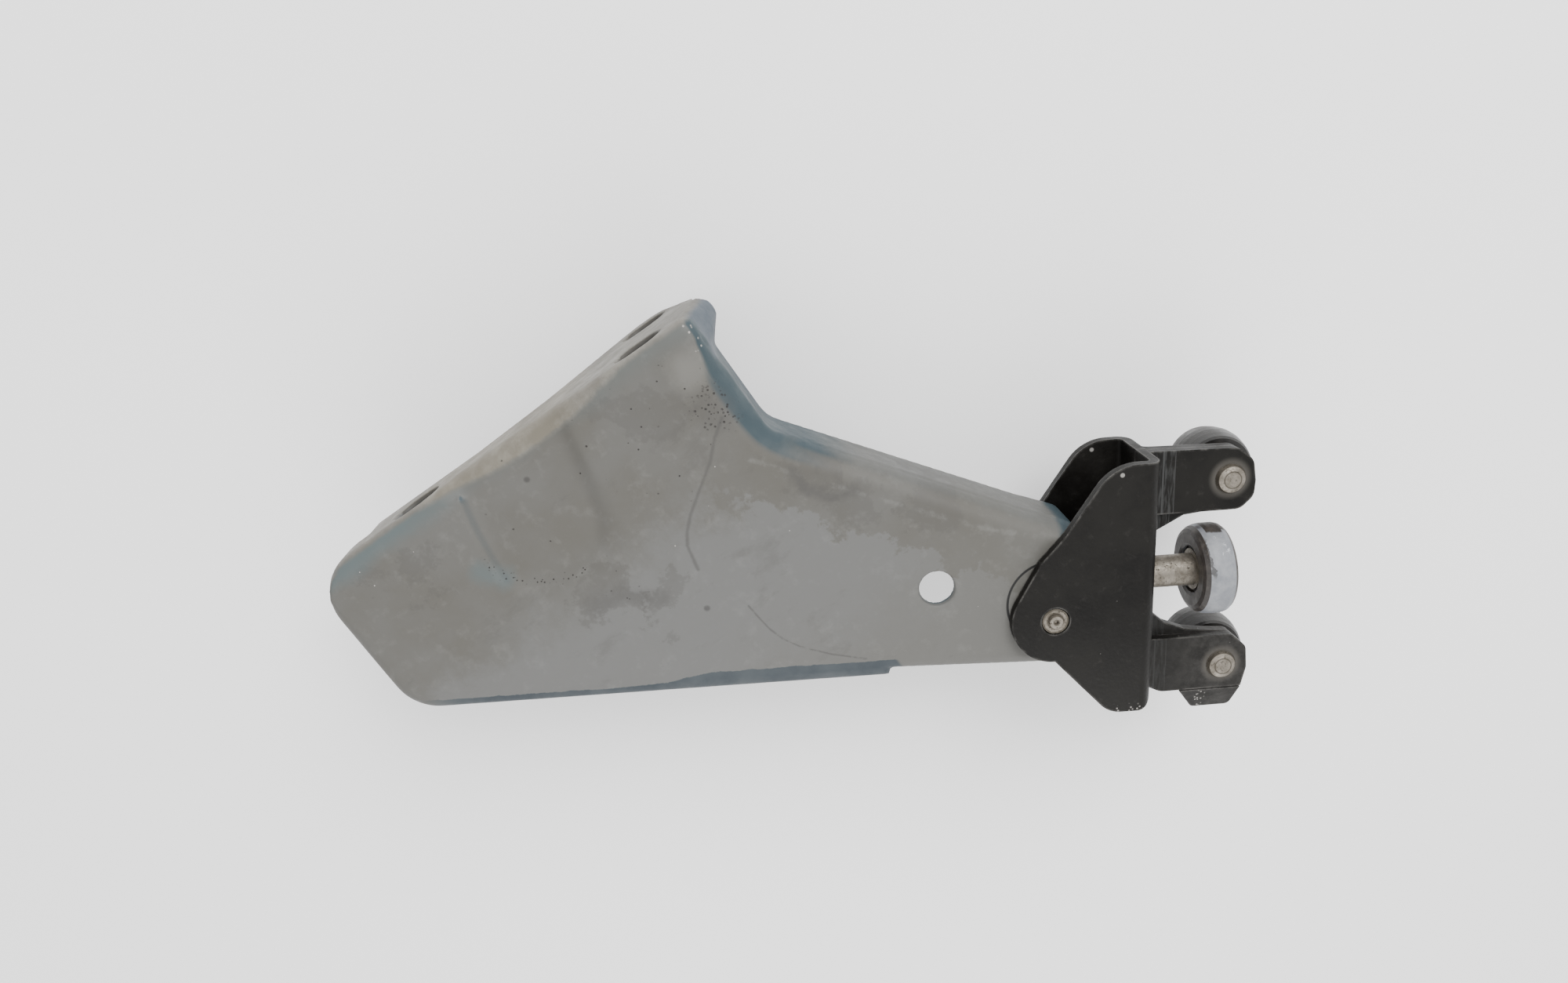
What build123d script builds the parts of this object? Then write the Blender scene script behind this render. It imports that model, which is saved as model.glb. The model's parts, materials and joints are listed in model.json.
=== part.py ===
"""Roller hinge arm of a sliding door.

A pressed-steel arm bolts to the door by a slotted flange. A pivot pin through its tip carries a swinging
carriage of two mirrored stampings with two guide rollers and one load roller.

Frame: the mounting face is the plane X = 0 and the arm lies on its +X side. Y runs along the bolt slots.
Z runs along the pivot pin. The origin is midway between the two bolt slots of the near row. Millimetres.
"""
from build123d import *
import math
import os

# ---------------------------------------------------------------- driving dimensions
SHEET = 3.0                   # thickness of every pressing

# arm
NEAR_Z = 9.6                  # outer face of the arm's web
RIM_Z = -14.6                 # rim of the arm's walls, and the far face of its tip
PIVOT_X, PIVOT_Y = 137.5, 94.0
BOSS_R = 16.0                 # lug of the arm round the pivot
END_Y = -78.9                 # low end of the arm
TOP_Y = 57.4                  # end wall at the top of the flange, at the web
TOP_IN_Y = 56.8               # the same wall where it turns into the arm's top edge
FLARE_Y = 63.3                # the end wall at its rim, where it flares outwards
LOW_FLANGE_Z = -4.5           # rim of the shallow flange on the long lower edge
INDEX_X, INDEX_Y, INDEX_R = 108.9, 70.4, 5.3
RECESS_R, RECESS_DEEP = 13.6, 1.2    # round recess in the web behind the carriage's lug

# door flange
SLOT_Y = 39.7                 # half the spacing of the near pair of slots
FAR_SLOT_Z = -34.5
SLOT_LONG, SLOT_WIDE = 15.5, 11.8
FLANGE_FAR_Z = -46.8          # far edge of the flange where it carries the far slot
FLANGE_LOW_Z = -12.0          # far edge of the flange at its low end

# pocket pressed into the web next to the flange
POCKET_DEEP = 2.0
POCKET_TOP = ((-8, 14.3), (43.6, 2.3))                      # its upper side, from the flange outwards
POCKET_LOW = ((40.8, -32.2), (22, -32.2), (-8, -20.3))      # its lower side, back to the flange

# pivot
PIN_R = 5.0                   # journal inside the bushes
PIN_END_R = 4.0               # ends in the carriage plates
BUSH_FIT = 0.03               # radial running clearance
BUSH_R = 7.0
BUSH_FLANGE_R = 9.5
BUSH_FLANGE = 1.2
KNUCKLE_R = 11.0

# carriage, in its own axes: x out along the load axle, z along the pivot pin, z = 0 between its plates
CARRIAGE_Z = -2.5
CARRIAGE_TURN = 58.6          # degrees from X to the carriage's own x axis at rest
CHEEK_OUT = 15.5              # outer face of each cheek
EDGE_X = 31.0                 # outer face of the web that holds the load axle
BEND_R = 4.5                  # outside bend radius
LUG_R = 13.3
ARM_TOP_Y, ARM_BOTTOM_Y = 46.6, 27.1
LOW_TOP_Y, LOW_BOTTOM_Y = -14.8, -33.2

# guide rollers
GUIDE_AT = {"upper": (56.6, 37.1), "lower": (57.4, -24.9)}
GUIDE_R = 11.9
GUIDE_FRONT_Z = -5.4          # face of the tread nearest the plates
GUIDE_WIDE = 14.0
GUIDE_AXLE_R = 4.0
GUIDE_BEARING_R, GUIDE_BEARING_WIDE = 8.6, 8.0
COLLAR_R = 7.6

# load roller
LOAD_Y = 7.3
LOAD_R = 14.2
LOAD_X0, LOAD_X1 = 46.4, 56.8
LOAD_AXLE_R = 5.0
LOAD_JOURNAL_R = 4.5
LOAD_BEARING_R, LOAD_BEARING_WIDE = 11.5, 7.0
LOAD_BEARING_X = 48.0

TO_CARRIAGE = Pos(PIVOT_X, PIVOT_Y, CARRIAGE_Z) * Rot(0, 0, CARRIAGE_TURN)


# ---------------------------------------------------------------- helpers
def cylinder(radius, z0, z1, x=0.0, y=0.0):
    """Solid cylinder along Z between two heights."""
    return Pos(x, y, (z0 + z1) / 2) * Cylinder(radius, abs(z1 - z0))


def tube(outer, inner, z0, z1, x=0.0, y=0.0):
    """Ring along Z between two heights."""
    return cylinder(outer, z0, z1, x, y) - cylinder(inner, min(z0, z1) - 1, max(z0, z1) + 1, x, y)


def block(x0, x1, y0, y1, z0, z1):
    """Box between two corners."""
    return Pos((x0 + x1) / 2, (y0 + y1) / 2, (z0 + z1) / 2) * Box(x1 - x0, y1 - y0, z1 - z0)


def plate(sketch, z0, z1):
    """Extrusion of a sketch on XY between two heights."""
    return Pos(0, 0, z0) * extrude(sketch, z1 - z0)


def polygon(*points):
    """Face on XY through the given corners."""
    return make_face(Polyline(*points, close=True))


def round_corners(face, radii):
    """Fillet the corners of a face that lie nearest the given points: {(x, y): radius}."""
    for (x, y), radius in radii.items():
        corner = face.vertices().sort_by_distance(Vector(x, y, 0))[0]
        face = fillet([corner], radius)
    return face


def revolved(profile):
    """Turn a profile of (radius, z) corners about Z."""
    face = Plane.XZ * polygon(*profile)
    return revolve(face, Axis.Z)


def along_x(shape):
    """Stand a shape that was made along Z along +X instead."""
    return Rot(0, 90, 0) * shape


# ---------------------------------------------------------------- arm
TOP_SLOPE = math.tan(math.radians(36.6))
LOW_SLOPE = math.tan(math.radians(58.0))
TIP = (118.2, 115.2)


def arm_outline():
    """Plan of the arm seen along the pivot pin: web and walls together, without the round pivot lug."""
    low_x = 49.1
    step_x = low_x + (43.3 - END_Y) / LOW_SLOPE
    wall_x = 46.7 + (TOP_IN_Y - 61.2) / TOP_SLOPE
    flare_x = 106.0
    flare_y = 61.2 + (flare_x - 46.7) * TOP_SLOPE
    low_out = math.radians(56.1 - 90)
    low_tangent = (PIVOT_X + BOSS_R * math.cos(low_out), PIVOT_Y + BOSS_R * math.sin(low_out))
    tip_far = math.hypot(TIP[0] - PIVOT_X, TIP[1] - PIVOT_Y)
    tip_turn = math.atan2(TIP[1] - PIVOT_Y, TIP[0] - PIVOT_X) - math.acos(BOSS_R / tip_far)
    tip_tangent = (PIVOT_X + BOSS_R * math.cos(tip_turn), PIVOT_Y + BOSS_R * math.sin(tip_turn))
    face = polygon(
        (0, END_Y + 1.3), (low_x, END_Y - 0.7), (step_x, 43.3), (step_x - 1.9, 44.5), low_tangent,
        tip_tangent, TIP, (flare_x, flare_y), (wall_x, TOP_IN_Y), (14, TOP_IN_Y), (9.5, TOP_Y), (0, TOP_Y),
    )
    return round_corners(face, {
        (0, END_Y + 1.3): 15, (low_x, END_Y - 0.7): 15, TIP: 5, (flare_x, flare_y): 30,
        (wall_x, TOP_IN_Y): 11, (0, TOP_Y): 3,
    })


def boss():
    """Round lug of the arm, as a sketch."""
    return Pos(PIVOT_X, PIVOT_Y) * Circle(BOSS_R)


def inner_outline():
    """Plan of the hollow inside the walls."""
    return offset(arm_outline(), -SHEET, kind=Kind.ARC)


def pocket(grow, deep):
    """Recess pressed into the web, open towards the mounting face."""
    sketch = polygon(*POCKET_TOP, *POCKET_LOW)
    sketch = round_corners(sketch, {POCKET_TOP[1]: 11, POCKET_LOW[0]: 15, POCKET_LOW[1]: 15})
    return Pos(0, 0, NEAR_Z - deep) * extrude(offset(sketch, grow, kind=Kind.ARC), deep + 1, taper=-20)


def flange_outline():
    """Door flange on the mounting face, drawn as (Y, Z)."""
    face = polygon(
        (-60, NEAR_Z - SHEET), (-56.5, FLANGE_LOW_Z), (-27, FLANGE_LOW_Z - 0.6), (4, -23.5),
        (35, FLANGE_FAR_Z), (45, FLANGE_FAR_Z), (58.5, -21), (59.5, RIM_Z + 1), (53, NEAR_Z - SHEET),
    )
    return round_corners(face, {
        (-56.5, FLANGE_LOW_Z): 6, (-27, FLANGE_LOW_Z - 0.6): 30, (4, -23.5): 30, (35, FLANGE_FAR_Z): 12,
        (45, FLANGE_FAR_Z): 8, (58.5, -21): 6,
    })


def end_wall():
    """Outside and inside of the end wall at the top of the flange, which flares outwards towards its rim."""
    top = NEAR_Z - 5
    near = polygon((0, 46), (0, TOP_Y - 2), (1.5, TOP_Y), (5, TOP_Y), (9.5, TOP_Y), (14, TOP_IN_Y), (14, 46))
    far = polygon(
        (0, 46), (0, 60.2), (2.4, FLARE_Y - 0.6), (4.2, FLARE_Y), (6.6, FLARE_Y - 0.2),
        (14, TOP_IN_Y), (14, 46),
    )
    near_in = polygon((3, 45), (3, 53), (3.7, 54.3), (5, 54.4), (8.8, 54.4), (14.5, 53.7), (14.5, 45))
    far_in = polygon((3, 45), (3, 58.8), (3.8, 60.0), (4.6, 60.3), (5.6, 60.1), (14.5, 52.6), (14.5, 45))
    outside = loft([Pos(0, 0, top) * near, Pos(0, 0, RIM_Z) * far], ruled=True)
    inside = loft([Pos(0, 0, top + 0.5) * near_in, Pos(0, 0, RIM_Z - 0.5) * far_in], ruled=True)
    return outside, inside


def slot_cutter(y, z):
    """Bolt slot through the flange, long way along Y."""
    return Plane.YZ * Pos(y, z) * extrude(SlotOverall(SLOT_LONG, SLOT_WIDE), SHEET + 0.5, both=True)


def arm_shell():
    """Main pressing of the arm: flat web with a wall all along its top edge and the door flange."""
    outer = plate(arm_outline() + boss(), RIM_Z, NEAR_Z)
    rim = outer.edges().filter_by_position(Axis.Z, NEAR_Z - 0.01, NEAR_Z + 0.01)
    outer = fillet(rim, 3.6)
    hollow = plate(inner_outline(), RIM_Z - 1, NEAR_Z - SHEET)
    shell = outer - hollow
    outside, inside = end_wall()
    shell = shell + outside - inside
    # the wall is shallow along the low end and the lower edge, and stops short of the pivot lug
    shell -= block(-1, 75, END_Y - 8, END_Y + 19, RIM_Z - 1, LOW_FLANGE_Z)
    shell -= block(14, 75, END_Y + 18, END_Y + 23, RIM_Z - 1, LOW_FLANGE_Z)
    shell -= block(126, 160, 60, 130, RIM_Z - 1, NEAR_Z - SHEET)
    low_edge = polygon((40, END_Y), (60, END_Y - 5), (140, 50), (160, 90), (140, 90), (116, 48))
    shell -= plate(low_edge, RIM_Z - 1, LOW_FLANGE_Z)
    shell -= plate(polygon((119, 44.0), (124, 44.0), (160, 90), (140, 90)), RIM_Z - 1, NEAR_Z - SHEET)
    # the flange reaches deeper than the walls
    shell += Plane.YZ * extrude(flange_outline(), SHEET)
    # pressed pocket, with the same sheet thickness under it
    shell -= pocket(0, POCKET_DEEP)
    floor = plate(inner_outline(), NEAR_Z - SHEET - POCKET_DEEP, NEAR_Z - SHEET)
    shell += floor & pocket(-SHEET / 2, 2 * SHEET)
    # round relief for the thrust washer and the holes
    shell -= cylinder(RECESS_R, NEAR_Z - RECESS_DEEP, NEAR_Z + 1, PIVOT_X - 4.3, PIVOT_Y + 2.1)
    shell -= cylinder(KNUCKLE_R, RIM_Z - 1, NEAR_Z + 1, PIVOT_X, PIVOT_Y)
    shell -= cylinder(INDEX_R, RIM_Z - 1, NEAR_Z + 1, INDEX_X, INDEX_Y)
    for y, z in ((-SLOT_Y, 0), (SLOT_Y, 0), (SLOT_Y, FAR_SLOT_Z)):
        shell -= slot_cutter(y, z)
    return shell


def arm_tip_plate():
    """Second plate that closes the far side of the arm's tip and holds the knuckle."""
    toe = Pos(113, 103) * Circle(3.2)
    sketch = make_hull((boss() + toe).edges())
    return plate(sketch, RIM_Z, RIM_Z + SHEET) - cylinder(KNUCKLE_R, RIM_Z - 1, NEAR_Z, PIVOT_X, PIVOT_Y)


def flange_brace():
    """Upright gusset inside the arm between the web and the deep part of the door flange."""
    side = polygon((SHEET, NEAR_Z - SHEET), (36, NEAR_Z - SHEET), (36, 0.5), (9, -32), (SHEET, -32))
    side = round_corners(side, {(36, 0.5): 3, (9, -32): 3})
    return Pos(0, 26, 0) * (Plane.XZ * extrude(side, SHEET))


def pivot_knuckle():
    """Tube welded through the arm's tip that carries the pivot bushes."""
    return tube(KNUCKLE_R, BUSH_R, RIM_Z + 1.0, NEAR_Z - 1.0, PIVOT_X, PIVOT_Y)


def pivot_bush(face_z, inwards):
    """Flanged bush pressed into one end of the knuckle; its flange bears on the carriage."""
    bore = PIN_R + BUSH_FIT
    flange = tube(BUSH_FLANGE_R, bore, face_z, face_z - inwards * BUSH_FLANGE, PIVOT_X, PIVOT_Y)
    return flange + tube(BUSH_R, bore, face_z, face_z + inwards * 9.0, PIVOT_X, PIVOT_Y)


# ---------------------------------------------------------------- carriage
def plate_section():
    """Section of a carriage plate, as (x, z): cheek, edge bent in, and the flat that carries a guide axle."""
    inner_x = EDGE_X - SHEET
    face = polygon(
        (-18, CHEEK_OUT), (EDGE_X, CHEEK_OUT), (EDGE_X, SHEET), (70, SHEET), (70, 0),
        (inner_x, 0), (inner_x, CHEEK_OUT - SHEET), (-18, CHEEK_OUT - SHEET),
    )
    return round_corners(face, {
        (EDGE_X, CHEEK_OUT): BEND_R, (EDGE_X, SHEET): 2, (inner_x, CHEEK_OUT - SHEET): 1.5,
    })


def section_bar(section, y0, y1):
    """Section swept along y."""
    return Pos(0, y1, 0) * (Plane.XZ * extrude(section, y1 - y0))


def plate_plan(upper_foot, lower_head):
    """Plan of a carriage plate: pivot lug, cheek and two flats, with the inner edge of each flat given."""
    lug = make_hull((Circle(LUG_R) + Pos(-4.2, 18.2) * Circle(0.8)).edges())
    cheek = polygon(
        (0, -13.3), (17.2, -32.2), (EDGE_X, -32.2), (EDGE_X, ARM_TOP_Y + 0.9), (16.4, ARM_TOP_Y + 0.9),
        (2.3, 26.6), (-4.7, 18.9),
    )
    cheek = round_corners(cheek, {
        (17.2, -32.2): 9, (EDGE_X, -32.2): 5, (16.4, ARM_TOP_Y + 0.9): 14, (2.3, 26.6): 30,
    })
    upper = polygon(
        (24, ARM_TOP_Y + 0.9), (33, ARM_TOP_Y + 0.6), (58.6, ARM_TOP_Y), (63.6, 42.6), (64.6, 36), (64.3, 31),
        (60.2, ARM_BOTTOM_Y), *upper_foot,
    )
    upper = round_corners(upper, {
        (58.6, ARM_TOP_Y): 4, (63.6, 42.6): 4, (64.3, 31): 4, (60.2, ARM_BOTTOM_Y): 4,
    })
    lower = polygon(
        *lower_head, (60.4, LOW_TOP_Y), (65.3, -19.4), (65.9, -26.8), (64.4, LOW_BOTTOM_Y),
        (38, LOW_BOTTOM_Y), (30, -29), (24, -27),
    )
    lower = round_corners(lower, {
        (60.4, LOW_TOP_Y): 3, (65.3, -19.4): 3, (65.9, -26.8): 3, (38, LOW_BOTTOM_Y): 6,
    })
    return lug + cheek + upper + lower


def carriage_plate(plan):
    """Stamping on the web's side of the carriage, in the carriage's own axes."""
    part = section_bar(plate_section(), -60, 60) & extrude(Pos(0, 0, -1) * plan, CHEEK_OUT + 2)
    part -= cylinder(PIN_END_R + 0.3, -2, CHEEK_OUT + 2)
    for x, y in GUIDE_AT.values():
        part -= cylinder(GUIDE_AXLE_R, -2, CHEEK_OUT + 2, x, y)
    part -= Pos(20, LOAD_Y, 0) * along_x(cylinder(LOAD_AXLE_R, 0, 20))
    return part


def stop_lip():
    """Tab below the lower flat, bent back a little from the plate."""
    tab = polygon((44.5, 0), (64.3, 0), (61.8, -7.4), (49.5, -7.4))
    tab = round_corners(tab, {(61.8, -7.4): 2, (49.5, -7.4): 2})
    return Pos(0, LOW_BOTTOM_Y + 0.4, 0) * Rot(18, 0, 0) * extrude(tab, SHEET)


def carriage_front_plate():
    """Near stamping with its stop lip."""
    plan = plate_plan([(24, ARM_BOTTOM_Y)], [(24, LOW_TOP_Y + 0.3)])
    lip = stop_lip() - block(40, 70, LOW_BOTTOM_Y - 10, LOW_BOTTOM_Y + 10, -10, 0)
    return carriage_plate(plan) + lip


def carriage_rear_plate():
    """Far stamping: the near one mirrored, without the lip and with a gusset beside each flat."""
    foot = [(44, 25.4), (38, 22.2), (30, 18), (24, 18)]
    head = [(24, -1), (30.6, -1), (35.6, -6.8), (39.6, -10.4), (46, -13.0), (52, -14.0)]
    return mirror(carriage_plate(plate_plan(foot, head)), Plane.XY)


def pivot_pin():
    """Shouldered pin: journal in the bushes, thinner ends in the plates, a head on the far side."""
    inside = CHEEK_OUT - SHEET - 0.05
    pin = cylinder(PIN_R, -inside, inside)
    pin += cylinder(PIN_END_R, inside, CHEEK_OUT - 0.3)
    pin += cylinder(2.1, CHEEK_OUT - 0.3, CHEEK_OUT + 0.9)
    pin -= cylinder(0.7, CHEEK_OUT + 0.1, CHEEK_OUT + 2)
    pin += cylinder(PIN_END_R, -inside, -CHEEK_OUT - 2.6)
    groove = tube(PIN_END_R + 1, PIN_END_R - 0.6, -CHEEK_OUT - 1.3, -CHEEK_OUT - 0.3)
    return pin - groove


def pivot_clip():
    """Split retaining ring in the groove at the far end of the pin."""
    ring = tube(PIN_END_R + 1.8, PIN_END_R - 0.6, -CHEEK_OUT - 1.25, -CHEEK_OUT - 0.35)
    return ring - block(0, 10, -1.5, 1.5, -CHEEK_OUT - 2, -CHEEK_OUT)


def guide_axle():
    """Riveted axle of a guide roller: domed head, shank through both plates, peened end behind the roller."""
    back = GUIDE_FRONT_Z - GUIDE_WIDE / 2 - GUIDE_BEARING_WIDE / 2
    head = 4.6
    profile = [
        (0, SHEET + 2.1), (head - 1.8, SHEET + 2.0), (head - 0.5, SHEET + 1.4), (head, SHEET + 0.5),
        (head, SHEET), (GUIDE_AXLE_R, SHEET), (GUIDE_AXLE_R, back), (5.6, back), (5.6, back - 1.2),
        (4.6, back - 1.8), (0, back - 1.8),
    ]
    return revolved(profile)


def axle_collar():
    """Spacer between the carriage plates and the inner ring of a guide bearing."""
    front = GUIDE_FRONT_Z - (GUIDE_WIDE - GUIDE_BEARING_WIDE) / 2
    profile = [
        (GUIDE_AXLE_R, -SHEET), (COLLAR_R, -SHEET), (COLLAR_R, GUIDE_FRONT_Z + 0.5),
        (5.6, GUIDE_FRONT_Z + 0.1), (5.6, front), (GUIDE_AXLE_R, front),
    ]
    return revolved(profile)


def bearing_parts(bore, inner_r, outer_in_r, outer_r, z0, wide, count):
    """Ball bearing along Z: inner ring, balls with their cage, outer ring. The balls clear the inner ring."""
    middle = z0 + wide / 2
    inner = tube(inner_r, bore, z0, z0 + wide)
    outer = tube(outer_r, outer_in_r, z0, z0 + wide)
    ball_r = (outer_in_r - inner_r - 0.35) / 2
    track_r = outer_in_r - ball_r - 0.05
    balls = [Pos(0, 0, middle) * Pos(*turned(track_r, k * 360 / count)) * Sphere(ball_r) for k in range(count)]
    return inner, Compound(balls), outer


def turned(radius, degrees):
    """Point on a circle on XY."""
    a = math.radians(degrees)
    return radius * math.cos(a), radius * math.sin(a), 0


def guide_bearing():
    """Bearing of a guide roller in place."""
    z0 = GUIDE_FRONT_Z - GUIDE_WIDE / 2 - GUIDE_BEARING_WIDE / 2
    return bearing_parts(GUIDE_AXLE_R, 5.3, 7.4, GUIDE_BEARING_R, z0, GUIDE_BEARING_WIDE, 9)


def guide_tyre():
    """Guide roller tread: black plastic ring with rounded shoulders that snaps round its bearing."""
    z1 = GUIDE_FRONT_Z
    z0 = z1 - GUIDE_WIDE
    mid = (z0 + z1) / 2
    half = GUIDE_BEARING_WIDE / 2
    front = [
        (7.9, mid + half), (7.9, z1 - 0.6), (8.5, z1),
        (GUIDE_R - 1.6, z1), (GUIDE_R - 1.0, z1 - 0.8), (GUIDE_R - 0.4, z1 - 3.2),
    ]
    back = [(r, 2 * mid - z) for r, z in reversed(front)]
    socket = [(GUIDE_BEARING_R, mid - half), (GUIDE_BEARING_R, mid + half)]
    return revolved(front + [(GUIDE_R, mid + 1.2), (GUIDE_R, mid - 1.2)] + back + socket)


def load_axle():
    """Axle of the load roller: shoulder outside the web, journal in the bearing, peened inside the web."""
    stop = LOAD_BEARING_X
    end = stop + LOAD_BEARING_WIDE
    web_in = EDGE_X - SHEET
    profile = [
        (0, web_in - 1.8), (4.6, web_in - 1.8), (5.6, web_in - 1.0), (5.6, web_in), (LOAD_AXLE_R, web_in),
        (LOAD_AXLE_R, stop - 0.8), (6.4, stop - 0.8), (6.4, stop), (LOAD_JOURNAL_R, stop),
        (LOAD_JOURNAL_R, end), (6.0, end), (6.0, end + 1.0), (5.0, end + 1.6), (0, end + 1.6),
    ]
    return Pos(0, LOAD_Y, 0) * along_x(revolved(profile))


def load_bearing():
    """Bearing of the load roller in place."""
    parts = bearing_parts(LOAD_JOURNAL_R, 6.4, 9.4, LOAD_BEARING_R, LOAD_BEARING_X, LOAD_BEARING_WIDE, 9)
    return [Pos(0, LOAD_Y, 0) * along_x(p) for p in parts]


def load_tyre():
    """Load roller tread: plastic ring with a dished inner face and rounded shoulders."""
    x0, x1 = LOAD_X0, LOAD_X1
    b0, b1 = LOAD_BEARING_X, LOAD_BEARING_X + LOAD_BEARING_WIDE
    profile = [
        (LOAD_BEARING_R, b0), (7.4, b0), (7.4, x0 + 0.6), (8.2, x0), (11.4, x0), (12.6, x0 + 0.5),
        (13.5, x0 + 1.7), (14.0, x0 + 3.1), (LOAD_R, x0 + 4.4), (LOAD_R, x1 - 2.4), (13.9, x1 - 1.2),
        (13.2, x1 - 0.3), (12.4, x1), (11.0, x1), (10.4, b1), (LOAD_BEARING_R, b1),
    ]
    return Pos(0, LOAD_Y, 0) * along_x(revolved(profile))


# ---------------------------------------------------------------- assembly
def arm_parts():
    """Every piece that stays with the door."""
    return {
        "arm_shell": arm_shell(),
        "arm_tip_plate": arm_tip_plate(),
        "flange_brace": flange_brace(),
        "pivot_knuckle": pivot_knuckle(),
        "pivot_bush_near": pivot_bush(NEAR_Z - 1.0, -1),
        "pivot_bush_far": pivot_bush(RIM_Z + 1.0, 1),
    }


def carriage_parts():
    """Every piece of the carriage, in the carriage's own axes."""
    parts = {
        "carriage_front_plate": carriage_front_plate(),
        "carriage_rear_plate": carriage_rear_plate(),
        "pivot_pin": pivot_pin(),
        "pivot_clip": pivot_clip(),
        "load_axle": load_axle(),
    }
    inner, balls, outer = guide_bearing()
    for side, (x, y) in GUIDE_AT.items():
        place = Pos(x, y, 0)
        parts[side + "_guide_axle"] = place * guide_axle()
        parts[side + "_axle_collar"] = place * axle_collar()
        parts[side + "_bearing_inner_ring"] = place * inner
        parts[side + "_bearing_balls"] = place * balls
        parts[side + "_bearing_outer_ring"] = place * outer
        parts[side + "_guide_tyre"] = place * guide_tyre()
    inner, balls, outer = load_bearing()
    parts["load_bearing_inner_ring"] = inner
    parts["load_bearing_balls"] = balls
    parts["load_bearing_outer_ring"] = outer
    parts["load_tyre"] = load_tyre()
    return parts


os.makedirs("parts", exist_ok=True)
for name, shape in arm_parts().items():
    export_step(shape, "parts/" + name + ".step")
for name, shape in carriage_parts().items():
    export_step(TO_CARRIAGE * shape, "parts/" + name + ".step")
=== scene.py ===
"""Looks of the sliding-door roller hinge: materials, small visual pieces, floor, light and camera."""
import json
import math

import bmesh
import bpy
from mathutils import Matrix, Vector


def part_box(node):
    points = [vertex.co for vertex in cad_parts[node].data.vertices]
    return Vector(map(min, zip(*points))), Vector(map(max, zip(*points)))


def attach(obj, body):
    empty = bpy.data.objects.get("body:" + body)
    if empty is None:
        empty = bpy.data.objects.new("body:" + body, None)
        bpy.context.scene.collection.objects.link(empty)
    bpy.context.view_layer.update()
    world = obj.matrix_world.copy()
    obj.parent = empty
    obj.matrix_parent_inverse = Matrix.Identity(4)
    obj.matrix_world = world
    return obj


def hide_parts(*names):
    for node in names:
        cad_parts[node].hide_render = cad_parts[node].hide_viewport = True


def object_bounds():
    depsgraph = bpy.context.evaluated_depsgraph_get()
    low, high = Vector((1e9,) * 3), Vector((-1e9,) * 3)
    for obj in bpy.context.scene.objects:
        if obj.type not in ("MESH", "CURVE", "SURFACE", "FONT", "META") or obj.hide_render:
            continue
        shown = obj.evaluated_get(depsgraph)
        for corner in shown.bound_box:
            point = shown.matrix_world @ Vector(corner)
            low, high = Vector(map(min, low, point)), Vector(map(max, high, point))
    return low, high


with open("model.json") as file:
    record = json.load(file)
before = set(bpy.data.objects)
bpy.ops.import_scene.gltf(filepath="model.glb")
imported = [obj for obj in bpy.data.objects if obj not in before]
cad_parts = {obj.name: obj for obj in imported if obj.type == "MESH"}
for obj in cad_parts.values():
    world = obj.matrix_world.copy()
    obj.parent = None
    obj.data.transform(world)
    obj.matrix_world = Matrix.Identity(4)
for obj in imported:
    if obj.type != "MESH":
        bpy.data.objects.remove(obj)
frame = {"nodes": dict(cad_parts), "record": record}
cad_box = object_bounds()

MM = 0.001
RECORD_JOINTS = {j["name"]: j for j in frame["record"]["behaviour"]["joints"]}
PIVOT = Vector(RECORD_JOINTS["carriage_pivot"]["pos_m"])
OUT = Vector(RECORD_JOINTS["load_spin"]["axis"])          # the carriage's own x axis
SIDE = Vector((-OUT.y, OUT.x, 0))                          # the carriage's own y axis
WEB_TOP = 9.6 * MM                                         # outer face of the arm's web


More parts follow.
